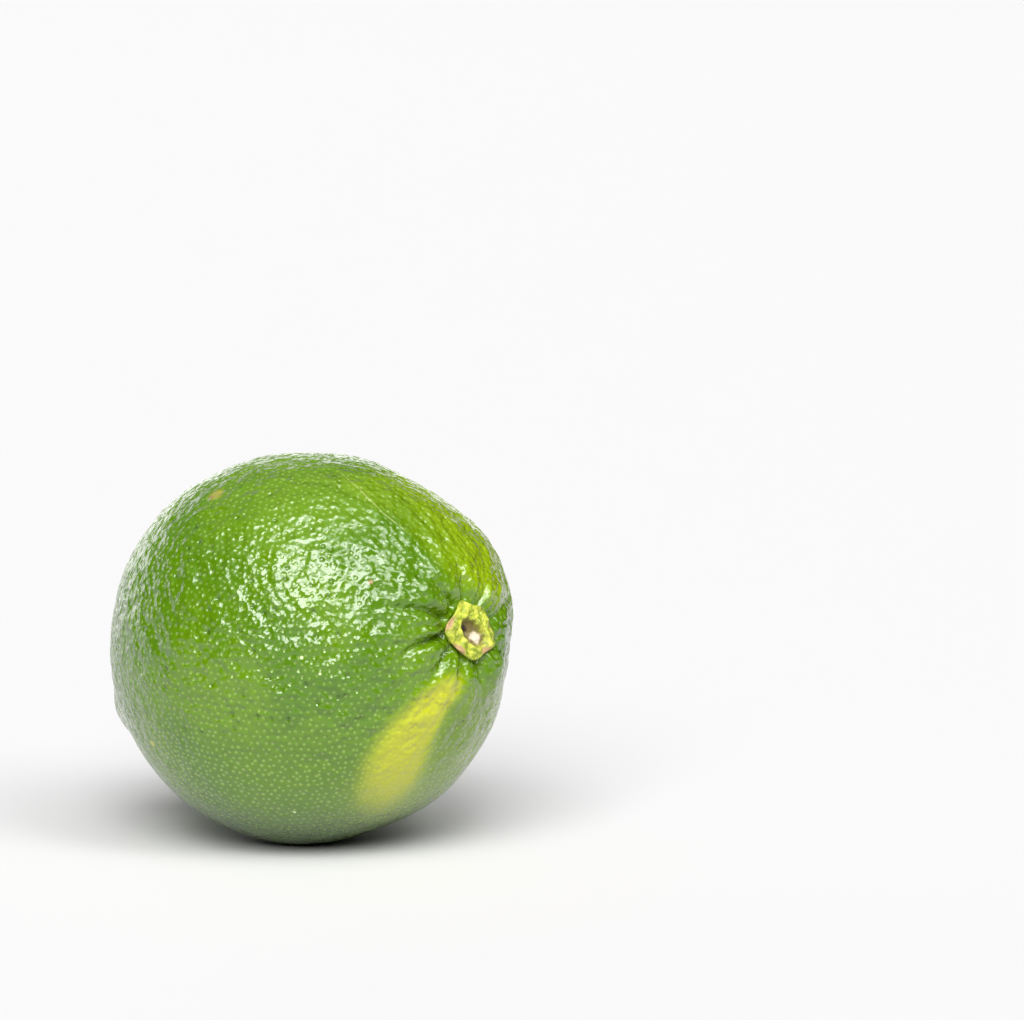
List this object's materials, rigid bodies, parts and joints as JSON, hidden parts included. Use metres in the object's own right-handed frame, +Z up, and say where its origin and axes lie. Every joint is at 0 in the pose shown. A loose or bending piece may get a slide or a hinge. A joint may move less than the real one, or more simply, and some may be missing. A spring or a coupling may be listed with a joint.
{
  "type": "lime",
  "caption": "Whole round lime with a low nipple at its tip and its stem button left on, lying on its side on a small flat spot.",
  "frame": {"origin": "centre of the small flat spot that the fruit rests on", "axes": "+Z up from the surface; the long axis lies in the XZ plane, with the stem end towards +X and a little raised"},
  "size_m": [0.0581, 0.052, 0.0519],
  "materials": {
    "peel": "waxy green peel with fine pores and a yellow patch",
    "calyx": "dull yellow-green with tan edges"
  },
  "bodies": {
    "root": {"fruit": "peel", "calyx": "calyx"}
  },
  "joints": []
}
